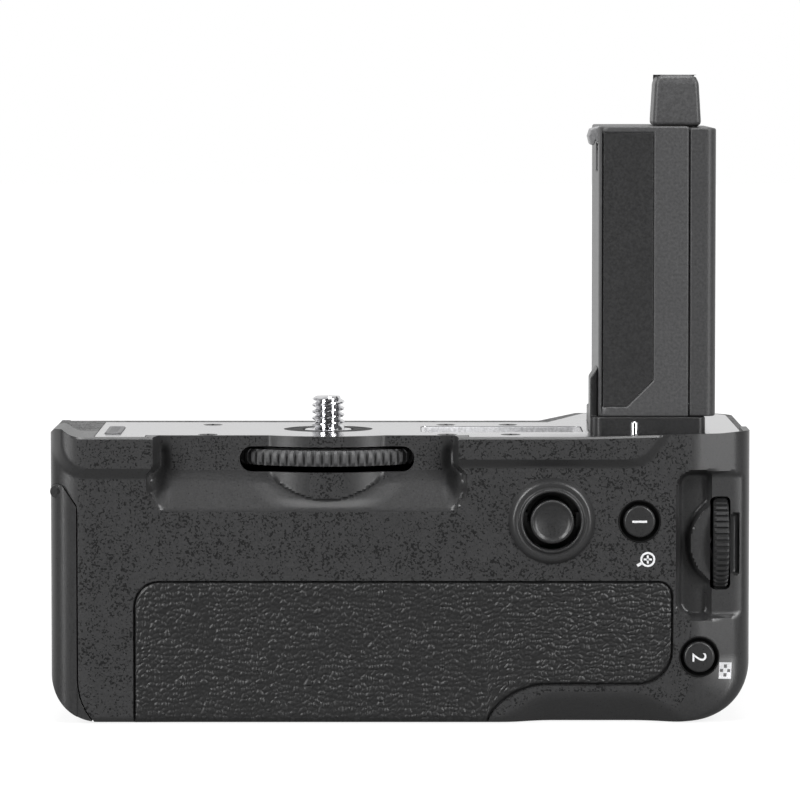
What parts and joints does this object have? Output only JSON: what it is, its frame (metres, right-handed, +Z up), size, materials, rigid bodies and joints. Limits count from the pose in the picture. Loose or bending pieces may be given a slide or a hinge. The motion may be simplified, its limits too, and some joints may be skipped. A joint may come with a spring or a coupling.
{
  "type": "camera battery grip",
  "caption": "Battery grip that screws under a camera: end-loading battery body, post for the camera's battery bay, vertical controls, thumbwheel screw and tripod socket.",
  "frame": {"origin": "mouth of the tripod socket in the base, at mid length and on the line of the camera screw's depth", "axes": "+X to the dial end, seen from the rear; +Y to the front, away from the user; +Z up, the way the camera sits"},
  "size_m": [0.1357, 0.0714, 0.1228],
  "materials": {
    "cover_plastic": "fine spark texture, satin",
    "base_plastic": "fine texture",
    "tower_plastic": "smooth satin",
    "tower_dark": "smooth satin",
    "control_black": "satin",
    "leatherette": "pebbled",
    "seat_metal": "polished",
    "chrome": "polished",
    "steel": "plain",
    "black_steel": "black",
    "rubber": "matt",
    "pale_plastic": "smooth",
    "catch_plastic": "smooth",
    "contact_gold": "plated",
    "board_green": "solder mask",
    "lead_amber": "film"
  },
  "bodies": {
    "root": {"rear_cover": "cover_plastic", "front_cover": "cover_plastic", "joystick_ring": "cover_plastic", "base_plate": "base_plastic", "battery_chamber": "base_plastic", "pocket_tray": "base_plastic", "tower_base": "base_plastic", "joystick_base": "base_plastic", "rear_dial_bracket": "base_plastic", "front_dial_bracket": "base_plastic", "shutter_collar": "base_plastic", "tower_shell": "tower_plastic", "tower_side_cover": "tower_plastic", "tower_head": "tower_plastic", "tower_panel": "tower_dark", "button_rings": "control_black", "rear_grip_skin": "leatherette", "front_grip_skin": "leatherette", "top_plate": "seat_metal", "positioning_pin": "chrome", "door_hinge_pin": "steel", "eject_leaves": "steel", "tripod_socket": "steel", "switches": "steel", "plate_screws": "black_steel", "case_screws": "black_steel", "tower_screws": "black_steel", "plate_pad": "rubber", "door_seal": "rubber", "screw_pad": "rubber", "tower_clip": "pale_plastic", "chamber_contacts": "contact_gold", "tower_contacts": "contact_gold", "main_board": "board_green", "flex_lead": "lead_amber"},
    "attachment": {"attachment_wheel": "control_black", "attachment_screw": "chrome", "screw_clip": "steel"},
    "rear_dial": {"rear_dial": "control_black", "rear_dial_axle": "steel"},
    "front_dial": {"front_dial": "control_black", "front_dial_axle": "steel"},
    "joystick_gimbal": {"joystick_gimbal": "steel"},
    "joystick_stick": {"joystick_stick": "steel"},
    "joystick_cap": {"joystick_cap": "control_black"},
    "af_button": {"af_button": "control_black"},
    "ael_button": {"ael_button": "control_black"},
    "c1_button": {"c1_button": "control_black"},
    "c2_button": {"c2_button": "control_black"},
    "shutter_button": {"shutter_button": "seat_metal"},
    "power_ring": {"power_ring": "control_black"},
    "battery_door": {"battery_door": "cover_plastic"},
    "door_latch": {"door_latch": "control_black"},
    "battery_lock_rear": {"battery_lock_rear": "catch_plastic"},
    "battery_lock_front": {"battery_lock_front": "catch_plastic"}
  },
  "joints": [
    {"name": "screw_turn", "type": "hinge", "parent": "root", "child": "attachment", "pos_m": [-0.014, 0, 0.0544], "axis": [0, 0, 1], "continuous": true},
    {"name": "rear_dial_turn", "type": "hinge", "parent": "root", "child": "rear_dial", "pos_m": [0.06095, -0.01227, 0.034], "axis": [1, 0, 0], "continuous": true},
    {"name": "front_dial_turn", "type": "hinge", "parent": "root", "child": "front_dial", "pos_m": [0.0515, 0.0382, 0.024], "axis": [0, 0, 1], "continuous": true},
    {"name": "joystick_tilt_up", "type": "hinge", "parent": "root", "child": "joystick_gimbal", "pos_m": [0.0287, -0.019, 0.0385], "axis": [1, 0, 0], "range_deg": [-6, 6], "stiffness_Nm_per_rad": 0.05},
    {"name": "joystick_tilt_side", "type": "hinge", "parent": "joystick_gimbal", "child": "joystick_stick", "pos_m": [0.0287, -0.019, 0.0385], "axis": [0, 0, 1], "range_deg": [-6, 6], "stiffness_Nm_per_rad": 0.05},
    {"name": "joystick_press", "type": "slide", "parent": "joystick_stick", "child": "joystick_cap", "axis": [0, 1, 0], "range_m": [0, 0.0003], "stiffness_N_per_m": 400},
    {"name": "af_press", "type": "slide", "parent": "root", "child": "af_button", "axis": [0, 1, 0], "range_m": [0, 0.0006], "stiffness_N_per_m": 400},
    {"name": "ael_press", "type": "slide", "parent": "root", "child": "ael_button", "axis": [0, 1, 0], "range_m": [0, 0.0006], "stiffness_N_per_m": 400},
    {"name": "c1_press", "type": "slide", "parent": "root", "child": "c1_button", "axis": [-1, 0, 0], "range_m": [0, 0.0006], "stiffness_N_per_m": 400},
    {"name": "c2_press", "type": "slide", "parent": "root", "child": "c2_button", "axis": [-1, 0, 0], "range_m": [0, 0.0006], "stiffness_N_per_m": 400},
    {"name": "shutter_press", "type": "slide", "parent": "root", "child": "shutter_button", "axis": [-1, 0, 0], "range_m": [0, 0.0006], "stiffness_N_per_m": 400},
    {"name": "power_turn", "type": "hinge", "parent": "root", "child": "power_ring", "pos_m": [0.0675, 0.03, 0.024], "axis": [1, 0, 0], "range_deg": [0, 40]},
    {"name": "door_open", "type": "hinge", "parent": "root", "child": "battery_door", "pos_m": [-0.0651, 0, 0.044], "axis": [0, 1, 0], "range_deg": [0, 90]},
    {"name": "latch_slide", "type": "slide", "parent": "battery_door", "child": "door_latch", "axis": [0, 1, 0], "range_m": [0, 0.004]},
    {"name": "lock_rear_slide", "type": "slide", "parent": "root", "child": "battery_lock_rear", "axis": [0, 0, -1], "range_m": [0, 0.002]},
    {"name": "lock_front_slide", "type": "slide", "parent": "root", "child": "battery_lock_front", "axis": [0, 0, -1], "range_m": [0, 0.002]}
  ]
}
